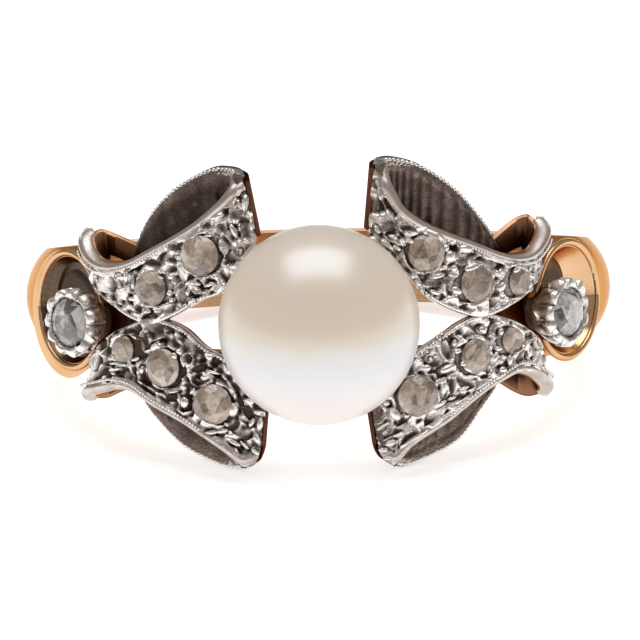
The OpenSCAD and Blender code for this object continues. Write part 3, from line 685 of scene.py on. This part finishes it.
# heights and widths in mm; rows along the front strip, or back from its last where they end
# something; an oval's edge is at 1
carving = {
    "field": {"depth": 0.05, "outerRim": 0.3, "innerRim": 0.1, "slopeShare": 0.8,
              "fade": 0.08, "endRow": 5.2, "endFade": 0.5, "narrowRow": 7.6,
              "narrowRows": 1.5, "narrowest": 0.1},
    "chips": {"size": 0.36, "slope": 0.42, "step": 0.03, "limit": 0.11, "onRim": 0.15,
              "block": 4000},
    "strokes": {"count": 50, "reach": 0.8, "y": (-0.2, 4.9), "length": (0.12, 0.34),
                "width": (0.04, 0.1), "height": (0.03, 0.08)},
    "ridges": {"height": 0.07, "width": 0.045, "groove": 0.05, "grooveAt": 2.4},
    "grains": {"rise": 0.03, "ditch": 0.05, "ditchAt": 1.2, "ditchWidth": 0.25},
    "scoops": {"depth": 0.13, "clears": 0.85, "lip": 0.04, "lipAt": 1.16, "lipWidth": 0.1},
    "seats": {"wall": 0.13, "wallFade": 0.05, "inside": 0.01, "uneven": 0.07,
              "stretch": 1.05, "waves": ((2, 1), (3, 0.8), (7, 0.6)), "waveSum": 2.4,
              "phases": 6.3, "collar": 0.09, "collarUneven": 0.05, "collarAt": 0.07,
              "collarWidth": 0.09},
    "edges": {"plainRow": 5.6, "plainDrop": 0.05, "outerDrop": 0.07, "outerWidth": 0.15,
              "innerDrop": 0.06, "innerWidth": 0.07},
    "cavity": {"near": 4, "nearShare": 5, "far": 10, "farShare": 4.5, "highShare": 1.4}}


def oval(u, y, spot):
    # 0 in the middle of an oval and 1 on its edge
    middleU, middleY, long, short, degrees = spot
    turn = math.radians(degrees)
    along = (u - middleU) * math.cos(turn) + (y - middleY) * math.sin(turn)
    across = (y - middleY) * math.cos(turn) - (u - middleU) * math.sin(turn)
    return np.hypot(along / long, across / short)


def toLine(u, y, points):
    # distance to a line drawn through the points
    best = np.full(u.shape, np.inf)
    for (u0, y0), (u1, y1) in zip(points[:-1], points[1:]):
        du, dy = u1 - u0, y1 - y0
        t = np.clip(((u - u0) * du + (y - y0) * dy) / (du * du + dy * dy + 1e-9), 0, 1)
        best = np.minimum(best, np.hypot(u - u0 - t * du, y - y0 - t * dy))
    return best


def chipped(run, y, draw):
    # small flat cuts side by side, each tilted its own way
    cut = carving["chips"]
    spots = np.stack([run.ravel(), y.ravel()], 1)
    low, high = spots.min(0), spots.max(0)
    count = int(np.prod(high - low) / cut["size"] ** 2)
    seeds = draw.uniform(low, high, (count, 2))
    slope = draw.normal(0, cut["slope"], (count, 2))
    step = draw.uniform(-1, 1, count) * cut["step"]
    height = np.empty(len(spots))
    for at in range(0, len(spots), cut["block"]):
        part = spots[at:at + cut["block"]]
        near = ((part[:, None] - seeds[None]) ** 2).sum(2).argmin(1)
        height[at:at + cut["block"]] = step[near] + ((part - seeds[near]) * slope[near]).sum(1)
    return height.reshape(run.shape)


def cutSeats(relief, u, y, ribbon, draw):
    # metal pushed over each stone's edge here and there, and standing off it elsewhere
    seat = carving["seats"]
    for at, out, radius in ribbon["stones"]:
        middle = rowAt(np.array(ribbon["front"]), np.array([at]))[0, 0]
        away = np.hypot((u - middle) * seat["stretch"], y - out)
        turn = np.arctan2(y - out, u - middle)
        phases = draw.uniform(0, seat["phases"], len(seat["waves"]))
        uneven = sum(share * np.sin(count * turn + phase) for (count, share), phase
                     in zip(seat["waves"], phases)) / seat["waveSum"]
        edge = radius - seat["inside"] - seat["uneven"] * uneven
        relief = relief + (seat["collar"] + seat["collarUneven"] * uneven) * bulge(
            away - edge - seat["collarAt"], seat["collarWidth"])
        bowl = fade(edge - away, seat["wallFade"])
        relief = relief * (1 - bowl) - seat["wall"] * bowl
    return relief


def carve(ribbon, flat, row, s, run, draw):
    # height of the carved face over the plain one
    u = flat[..., 0]
    y = flat[..., 1]
    length = run[:, None] + 0 * y
    last = len(ribbon["front"])
    field, cut, stroke, ridge, grain, scoop, edge = (
        carving[key] for key in ("field", "chips", "strokes", "ridges", "grains", "scoops",
                                 "edges"))
    inner, outer = edges(row)
    toOuter = outer - sheet["rimSlope"] * sheet["silver"] * field["slopeShare"] - y
    toInner = y - inner
    narrow = np.clip((field["narrowRow"] - s) / field["narrowRows"], field["narrowest"], 1)
    carved = (fade(toOuter - field["outerRim"], field["fade"])
              * fade(toInner - field["innerRim"] * narrow[:, None], field["fade"])
              * fade(last - field["endRow"] - s, field["endFade"])[:, None])
    chips = np.clip(softened(chipped(length, y, draw), 1), -cut["limit"], cut["limit"])
    relief = chips * (cut["onRim"] + (1 - cut["onRim"]) * carved) - field["depth"] * carved
    # short strokes of the graver all over the field
    for k in range(stroke["count"]):
        spot = [draw.uniform(0, run[-1] * stroke["reach"]), draw.uniform(*stroke["y"]),
                draw.uniform(*stroke["length"]), draw.uniform(*stroke["width"]),
                draw.uniform(0, 180)]
        height = draw.choice([-1, 1]) * draw.uniform(*stroke["height"])
        relief += height * fade(1 - oval(length, y, spot)) * carved
    for points in ribbon["ridges"]:
        away = toLine(u, y, points) / ridge["width"]
        relief += (ridge["height"] * bulge(away)
                   - ridge["groove"] * bulge(away - ridge["grooveAt"]))
    for spot in ribbon["grains"]:
        away = oval(u, y, spot)
        relief -= grain["ditch"] * bulge(away - grain["ditchAt"], grain["ditchWidth"])
        relief += grain["rise"] * fade(1 - away)
    for spot in ribbon["scoops"]:
        away = oval(u, y, spot)
        bowl = np.sqrt(fade(1 - away ** 2))
        relief = relief * (1 - scoop["clears"] * bowl) - scoop["depth"] * bowl
        relief += scoop["lip"] * bulge(away - scoop["lipAt"], scoop["lipWidth"])
    relief = cutSeats(relief, u, y, ribbon, draw)
    # the curl's end is plain, under the end of its rim
    plain = fade(s - last + edge["plainRow"])[:, None]
    relief = relief * (1 - plain) - edge["plainDrop"] * plain
    relief -= edge["outerDrop"] * fade(1 - toOuter / edge["outerWidth"]) ** 2
    relief -= edge["innerDrop"] * fade(1 - toInner / edge["innerWidth"]) ** 2
    return relief


def sheetPiece(name, ribbon, face, shade, row, normal, foot):
    # a worked face closed by a plain back: its height at the edges and behind, and its shade
    near, far, footShade = foot
    corners = [stripPoint(row, normal, share, offset)
               for share, offset in ((1, near), (1, far), (0, far), (0, near))]
    loops = np.concatenate([face] + corners, 1)
    shade = np.concatenate([shade, np.full((len(row), len(corners)), footShade)], 1)
    return rolledPiece(name, placed(loops, ribbon), shade)


def frontPiece(name, ribbon, draw):
    rows = np.array(ribbon["front"])
    s, row, normal, run = evenRows(rows, 0, len(rows) - sheet["endRows"], sheet["cell"])
    inner, outer = edges(row)
    share = np.linspace(0, 1, int((outer - inner).max() / sheet["cell"]))[None, :]
    flat = stripPoint(row, normal, share, sheet["silver"])
    relief = carve(ribbon, flat, row, s, run, draw)
    top = stripPoint(row, normal, share, sheet["silver"] + relief)
    soot = carving["cavity"]
    # the ribbon's own darkening, partly painted shade, with patina in the hollows and lighter
    # where the carving stands up
    cavity = (ribbon["soot"] + (softened(relief, soot["near"]) - relief) * soot["nearShare"]
              + (softened(relief, soot["far"]) - relief) * soot["farShare"]
              - relief * soot["highShare"])
    return sheetPiece(name, ribbon, top, cavity, row, normal,
                      (sheet["footNear"], sheet["footFar"], sheet["footShade"]))


# the filed rims' half widths, half heights and offsets at rows of each strip, and where each
# part starts, in rows back from the last, and ends
rims = {
    "front": {"rows": [0.5, 2, 4.3, 6.5, 8.5, 12], "width": [0.25, 0.19, 0.14, 0.15, 0.2, 0.2],
              "height": [0.24, 0.19, 0.18, 0.2, 0.29, 0.29],
              "offset": [0.15, 0.17, 0.17, 0.14, 0.06, 0.06], "start": 4, "end": 0.7},
    "back": {"rows": [0, 3, 6], "width": [0.12, 0.15, 0.24], "height": [0.15, 0.16, 0.24],
             "offset": [-0.16, -0.16, -0.17], "start": 1.8, "end": 0.25},
    "rowStep": 0.2, "step": 0.045, "blur": 9, "sides": 16, "overhang": 0.03,
    "endSize": 0.85, "endRows": 16, "rough": 0.004, "backRough": 0.1, "shade": 0.16,
    "sideShade": 0.1, "backShade": 0.2, "roughShade": 4}


def rimTrack(ribbon):
    # the outer edge from the curl to the fold, round the fold, and back along the loop:
    # places, directions square to the strip, half widths, half heights, 1 on the back strip
    track = []
    for key in ("front", "back"):
        rim = rims[key]
        rows = np.array(ribbon[key])
        s = np.arange(len(rows) - rim["start"], rim["end"], -rims["rowStep"])
        normal = squareAt(rows, s, 0, len(rows) - 1)
        width, height, offset = (np.interp(s, rim["rows"], rim[what])[:, None]
                                 for what in ("width", "height", "offset"))
        place = stripPoint(rowAt(rows, s), normal, 1, offset)[:, 0]
        place[:, 1:2] -= width - rims["overhang"]
        track.append(np.hstack([place, normal[:, :1], 0 * width, normal[:, 1:], width, height,
                                0 * width + (key == "back")]))
    track = np.concatenate(track)
    run = runAlong(np.linalg.norm(np.diff(track[:, :3], axis=0), axis=1))
    even = np.linspace(0, run[-1], int(run[-1] / rims["step"]))
    track = np.stack([np.interp(even, run, values) for values in track.T], 1)
    half = rims["blur"] // 2
    track = np.pad(track, ((half, half), (0, 0)), mode="edge")
    blur = np.ones(rims["blur"]) / rims["blur"]
    track = np.stack([np.convolve(values, blur, "valid") for values in track.T], 1)
    place, up, width, height, back = np.split(track, [3, 6, 7, 8], axis=1)
    return place, unit(up), width, height, back


def rimPiece(name, ribbon, draw):
    place, up, width, height, back = rimTrack(ribbon)
    ahead = unit(np.gradient(place, axis=0))
    up = unit(up - ahead * (up * ahead).sum(1)[:, None])
    side = np.cross(ahead, up)
    turn = np.linspace(0, 2 * math.pi, rims["sides"], endpoint=False)[None, :]
    taper = np.minimum(1, rims["endSize"] + np.arange(len(place)) / rims["endRows"])[:, None]
    rough = draw.uniform(-1, 1, (len(place), rims["sides"])) * (
        rims["rough"] + rims["backRough"] * back)
    across = np.cos(turn) * width * taper * (1 + rough)
    over = np.sin(turn) * height * taper * (1 + rough)
    loops = (place[:, None] + side[:, None] * across[..., None] + up[:, None] * over[..., None])
    shade = (rims["shade"] + rims["sideShade"] * np.sin(turn * 2)
             + back * (rims["backShade"] - rough * rims["roughShade"]))
    return rolledPiece(name, placed(loops, ribbon), shade)


# the raised grains: height for their half width, the tallest, how deep they are set, and how
# far they lean
grains = {"samples": 500, "lastRow": 9.2, "height": 1.1, "tallest": 0.16, "sunk": 0.05,
          "leanAcross": 0.25, "leanAlong": 0.2}


def onFront(ribbon, u, y):
    # place and upright direction on the carved face, for a spot seen from above
    rows = np.array(ribbon["front"])
    s = np.linspace(0, len(rows) - sheet["endRows"], grains["samples"])
    row = rowAt(rows, s)
    along = unit(np.gradient(row[:, :2], axis=0))
    face = row[:, 0] - sheet["silver"] * along[:, 1]
    pick = np.argmin(np.where(s < grains["lastRow"], np.abs(face - u), np.inf))
    up = np.array([-along[pick, 1], 0, along[pick, 0]])
    place = np.array([row[pick, 0], y, row[pick, 1]]) + sheet["silver"] * up
    return place, up


def grainSpots(ribbon, draw):
    spots = []
    out = np.array([0, 1, 0])
    for u, y, long, short, degrees in ribbon["grains"]:
        place, up = onFront(ribbon, u, y)
        turn = math.radians(degrees)
        ahead = np.array([up[2], 0, -up[0]])
        along = ahead * math.cos(turn) + out * math.sin(turn)
        across = np.cross(up, along)
        lean = (up + across * draw.uniform(-grains["leanAcross"], grains["leanAcross"])
                + along * draw.uniform(-grains["leanAlong"], grains["leanAlong"]))
        height = min(short * grains["height"], grains["tallest"])
        spots.append([placed(part, ribbon) for part in (
            place - up * grains["sunk"], along * long, across * short, lean * height)])
    return spots


# ribs across the loops' insides, and the dents that wear has left in them; edges are shares
# of the strip's width
# the shade values paint shade on the loops' insides: darker in the upper loops than in the lower,
# and darker away from the strip's edges; the ribs' crests are lighter
lining = {"cell": 0.05, "across": 64, "pitch": 0.37, "rib": {1: 0.05, -1: 0.006},
          "sway": 0.5, "swayPace": 1.7, "lean": 0.4, "ribEdge": 0.06, "ribFade": 0.05,
          "dents": 26, "dent": 0.035, "dentY": (1, 5.4), "dentLong": (0.12, 0.4),
          "dentWide": (0.05, 0.16), "dentTurn": (50, 130), "dentEdge": 0.04,
          "dentFade": 0.08, "footNear": -0.17, "footFar": 0.0, "shade": 0.2,
          "worn": {1: 0.1, -1: -0.08}, "innerShade": 0.45, "shadeEdge": 0.03,
          "shadeFade": 0.14, "ribShade": 8}


def liningPiece(name, ribbon, draw):
    rows = np.array(ribbon["back"])
    row, normal, run = evenRows(rows, 0, len(rows) - 1, lining["cell"])[1:]
    share = np.linspace(0, 1, lining["across"])[None, :]
    edge = np.minimum(share, 1 - share)
    length = run[:, None] + 0 * share
    drift = lining["sway"] * np.sin(run * lining["swayPace"])[:, None] + lining["lean"] * share
    ribs = lining["rib"][ribbon["side"]] * np.abs(
        np.sin(math.pi * (run[:, None] / lining["pitch"] + drift)))
    ribs = ribs * fade(edge - lining["ribEdge"], lining["ribFade"])
    y = stripPoint(row, normal, share, -sheet["silver"])[..., 1]
    dents = 0 * length
    for k in range(lining["dents"]):
        spot = [draw.uniform(0, run[-1])] + [
            draw.uniform(*lining[key]) for key in ("dentY", "dentLong", "dentWide", "dentTurn")]
        hollow = fade(1 - oval(length, y, spot) ** 2)
        dents += draw.choice([-1, 1]) * lining["dent"] * hollow
    ribs = ribs + dents * fade(edge - lining["dentEdge"], lining["dentFade"])
    inside = stripPoint(row, normal, share, -sheet["silver"] + ribs)
    # painted shade: darker in the upper loops, lighter in the lower, darker away from the strip's
    # edges, lighter on the ribs
    shade = (lining["shade"] + lining["worn"][ribbon["flip"]]
             + lining["innerShade"] * fade(edge - lining["shadeEdge"], lining["shadeFade"])
             - ribs * lining["ribShade"])
    return sheetPiece(name, ribbon, inside, shade, row, normal,
                      (lining["footNear"], lining["footFar"], lining["shade"]))


# the gold behind the silver: its finish, the strip's row it starts at, its two faces from
# where silver and gold meet, and how far in its edges are
goldStrips = {"front": ("coppery_gold", 4 / 3, -0.22, -0.03, 0.03),
              "back": ("shaded_gold", 0, 0.03, 0.17, 0.12)}
goldEdge = {"cell": 0.07, "soft": 0.05}


def goldPiece(name, ribbon, key, start, low, high, trim):
    rows = np.array(ribbon[key])
    row, normal = evenRows(rows, start, len(rows) - 1, goldEdge["cell"])[1:3]
    soft = goldEdge["soft"]
    inner, outer = edges(row)
    cut = soft / (outer - inner)
    full = 1 + 0 * cut
    corners = [(cut, low), (1 - cut, low), (full, low + soft), (full, high - soft),
               (1 - cut, high), (cut, high), (0 * cut, high - soft), (0 * cut, low + soft)]
    loops = np.concatenate([stripPoint(row, normal, share, offset, trim)
                            for share, offset in corners], 1)
    return rolledPiece(name, placed(loops, ribbon))


# beads along the front strip's rims and the loop's rim; rows as for the carving
milgrain = {"pitch": 0.13, "radius": 0.062, "startRow": 4.2, "endRow": 5.2, "step": 0.1,
            "inside": 0.03, "innerRows": (2.6, 6.8), "innerIn": 0.1, "innerSize": 0.9,
            "innerLift": -0.03, "backPitch": 0.17, "backRadius": 0.085, "backUp": -0.8,
            "backOut": 0.75, "backRise": 0.9, "backFrom": 0.99, "squash": 0.8,
            "uneven": (0.85, 1.12)}


def pathSpots(ribbon, points, normals, pitch, radius, lift, seed):
    # beads at an even pitch along a path
    draw = np.random.RandomState(seed)
    points, normals = placed(points, ribbon), placed(normals, ribbon)
    run = runAlong(np.linalg.norm(np.diff(points, axis=0), axis=1))
    count = int(run[-1] / pitch)
    spots = []
    for k in range(count):
        at = (k + 0.5) * run[-1] / count
        place, up = (np.array([np.interp(at, run, values) for values in table.T])
                     for table in (points, normals))
        i = min(np.searchsorted(run, at), len(points) - 1)
        along = points[i] - points[max(i - 1, 0)]
        along /= np.linalg.norm(along)
        up -= along * (up @ along)
        up /= np.linalg.norm(up)
        size = radius * draw.uniform(*milgrain["uneven"])
        spots.append((place + up * lift, along * size, np.cross(up, along) * size,
                      up * size * milgrain["squash"]))
    return spots


def edgeLine(ribbon, start, end, share):
    # rows, points and upright directions along an edge of the carved face
    s, row, normal, run = evenRows(np.array(ribbon["front"]), start, end, milgrain["step"])
    line = stripPoint(row, normal, share, sheet["silver"])[:, 0]
    return s, row, line, np.stack([normal[:, 0], 0 * run, normal[:, 1]], 1)


def ribbonMilgrain(ribbon, seed):
    s, row, line, up = edgeLine(ribbon, milgrain["startRow"],
                                len(ribbon["front"]) - milgrain["endRow"], 1)
    line[:, 1] = (edges(row)[1][:, 0] + rims["overhang"] - milgrain["inside"]
                  - 2 * np.interp(s, rims["front"]["rows"], rims["front"]["width"]))
    spots = pathSpots(ribbon, line, up, milgrain["pitch"], milgrain["radius"], 0, seed)
    line, up = edgeLine(ribbon, *milgrain["innerRows"], 0)[2:]
    line[:, 1] += milgrain["innerIn"]
    spots += pathSpots(ribbon, line, up, milgrain["pitch"],
                       milgrain["radius"] * milgrain["innerSize"], milgrain["innerLift"],
                       seed + 2)
    track = rimTrack(ribbon)
    onBack = track[-1][:, 0] > milgrain["backFrom"]
    place, up, height = (track[k][onBack] for k in (0, 1, 3))
    up = unit(up * milgrain["backUp"] + np.array([0, milgrain["backOut"], 0]))
    line = place + up * height * milgrain["backRise"]
    return spots + pathSpots(ribbon, line, up, milgrain["backPitch"], milgrain["backRadius"],
                             0, seed + 1)


# the collets' profile from foot over the rim to the seat: radius, height, share of the lobes
coronet = {"lobes": 11, "place": (8.9, -0.28, 7.6), "tilt": {"left": 44, "right": 52},
           "seed": {"left": 54, "right": 55},
           "profile": [(0.70, -1.5, 0.0), (0.86, -1.15, 0.0), (1.02, -0.86, 0.3),
                       (1.13, -0.68, 0.8), (1.20, -0.45, 1.0), (1.21, -0.22, 1.0),
                       (1.14, -0.05, 0.9), (1.02, 0.02, 0.6), (0.92, -0.03, 0.4),
                       (0.865, -0.14, 0.2), (0.84, -0.3, 0.0), (0.8, -0.4, 0.0)],
           "depth": 0.15, "around": 260, "along": 72, "roundness": 0.6, "grown": (0.75, 1.15),
           "inset": 0.75, "raised": 0.05, "lobeRise": 0.09, "lobeDrop": 0.05, "chips": 0.24,
           "chipPace": 0.12, "shade": 0.54, "lobeShade": 0.52, "plainBelow": 0.1,
           "plainShade": 0.35}


def coronetPiece(name, side):
    draw = np.random.RandomState(coronet["seed"][side])
    profile = np.array(coronet["profile"])
    at = np.linspace(0, len(profile) - 1, coronet["along"])
    radius, height, share = (values[:, None] for values in rowAt(profile, at).T)
    lobed = fade(share)
    turn = np.linspace(0, 2 * math.pi, coronet["around"], endpoint=False)
    lobe = turn * coronet["lobes"] / (2 * math.pi) + draw.uniform()
    number = np.floor(lobe).astype(int) % coronet["lobes"]
    across = np.abs(np.sin(math.pi * lobe)) ** coronet["roundness"]
    grown = draw.uniform(*coronet["grown"], coronet["lobes"])[number]
    raised = draw.uniform(-coronet["raised"], coronet["raised"], coronet["lobes"])[number]
    swell = lobed * (across * grown - coronet["inset"]) * coronet["depth"]
    chips = chipped(np.repeat(at[:, None] * coronet["chipPace"], len(turn), 1),
                    np.repeat(turn[None, :], len(at), 0), draw)
    swell += chips * lobed * coronet["chips"] / carving["chips"]["slope"]
    wide = radius + swell
    high = height + (across * coronet["lobeRise"] - coronet["lobeDrop"] + raised) * lobed
    local = np.stack([wide * np.cos(turn), wide * np.sin(turn), high], -1)
    tilt = math.radians(coronet["tilt"][side])
    axes = np.array([[math.cos(tilt), 0, -math.sin(tilt)], [0, 1, 0],
                     [math.sin(tilt), 0, math.cos(tilt)]])
    mirror = np.array([-1.0 if side == "left" else 1.0, 1, 1])
    # darker between the lobes, and the plain wall under the lobes painted darker still: painted
    # shade
    shade = (coronet["shade"] - across * coronet["lobeShade"] * share
             + coronet["plainShade"] * (share < coronet["plainBelow"]))
    return rolledPiece(name, (local @ axes + np.array(coronet["place"])) * mirror, shade)


pearl = {"middle": 13.0, "radius": 3.5, "hole": 0.43, "holeEnd": 11.1, "around": 180,
         "along": 130, "uneven": 0.0025}


def pearlPiece(name):
    # from the top down to the drill hole, up the hole and over its end
    last = math.pi - math.asin(pearl["hole"] / pearl["radius"])
    down = np.linspace(0, last, pearl["along"])
    radius = np.concatenate([pearl["radius"] * np.sin(down), [pearl["hole"], 0]])
    height = np.concatenate([pearl["middle"] + pearl["radius"] * np.cos(down),
                             [pearl["holeEnd"], pearl["holeEnd"]]])
    turn = np.linspace(0, 2 * math.pi, pearl["around"], endpoint=False)
    angle = np.concatenate([down, [last, last]])[:, None]
    swell = 1 - pearl["uneven"] * (1 + np.sin(2 * turn + 3 * angle)) * np.sin(angle) ** 2
    wide = radius[:, None] * swell
    high = np.repeat(height[:, None], len(turn), 1)
    return rolledPiece(name, np.stack([wide * np.cos(turn), wide * np.sin(turn), high], -1))


addCamera()
addLights()
print("camera and light placed")

finishes = {}
for makeFinish, looks in ((makeSilver, silvers), (makeGold, golds), (makeStone, stones)):
    for name, look in looks.items():
        finishes[name] = makeFinish(name, **look)
for makeFinish, name in ((makeDarkSilver, "dark_silver"), (makePaintedPearl, "pearl_lustre")):
    finishes[name] = makeFinish(name)
print("finishes made")

frontKinds = (("ribbon_", frontPiece, "carved_silver"), ("rim_", rimPiece, "filed_silver"),
              ("lining_", liningPiece, "lining_silver"))
firstSeed = 40
beadMaster = makeBeadMaster()
for number, (name, ribbon) in enumerate(ribbons.items()):
    bow, backing = ribbon["nodes"]
    draw = np.random.RandomState(firstSeed + number)
    for kind, makePiece, finish in frontKinds:
        layPiece(makePiece(kind + name, ribbon, draw), finish, [bow])
    for key, (finish, *sizes) in goldStrips.items():
        layPiece(goldPiece(key + "_gold_" + name, ribbon, key, *sizes), finish,
                 [backing])
    for kind, spots in (("milgrain_", ribbonMilgrain(ribbon, 10 * number + 1)),
                        ("grains_", grainSpots(ribbon, draw))):
        layPiece(copiedPiece(kind + name, beadMaster, spots), "bead_silver",
                 [], smooth=60)
    print("ribbon", name, "made")
bpy.data.objects.remove(beadMaster)

for side in ("left", "right"):
    layPiece(coronetPiece("collet_" + side, side), "collet_silver",
             ["coronet_" + side])
print("coronets made")

layPiece(pearlPiece("drilled_pearl"), "pearl_lustre", ["pearl"], smooth=60)
print("pearl made")

# the solids that show as they are, by the longest start of their names
nodeFinishes = {"shank": "rose_gold", "dish": "dark_silver", "stone": "old_cut_stone",
                "stone_coronet": "shoulder_stone"}
for name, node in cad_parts.items():
    kinds = [kind for kind in nodeFinishes if name.startswith(kind)]
    if kinds:
        node.data.materials.clear()
        node.data.materials.append(finishes[nodeFinishes[max(kinds, key=len)]])
print("solids finished")

stage = {"white": (0.93, 0.93, 0.93), "glow": 0.66}
deselectAll()
bpy.ops.mesh.primitive_plane_add(size=6, location=(0, 0, 0))
floor = bpy.context.object
floor.name = "floor"
floorFinish = Finish("floor", Roughness=0.9)
floorFinish.set("Base Color", colour(*stage["white"]))
floorFinish.set("Emission Color", colour(1, 1, 1))
floorFinish.set("Emission Strength", stage["glow"])
floor.data.materials.append(floorFinish.material)
print("floor laid")
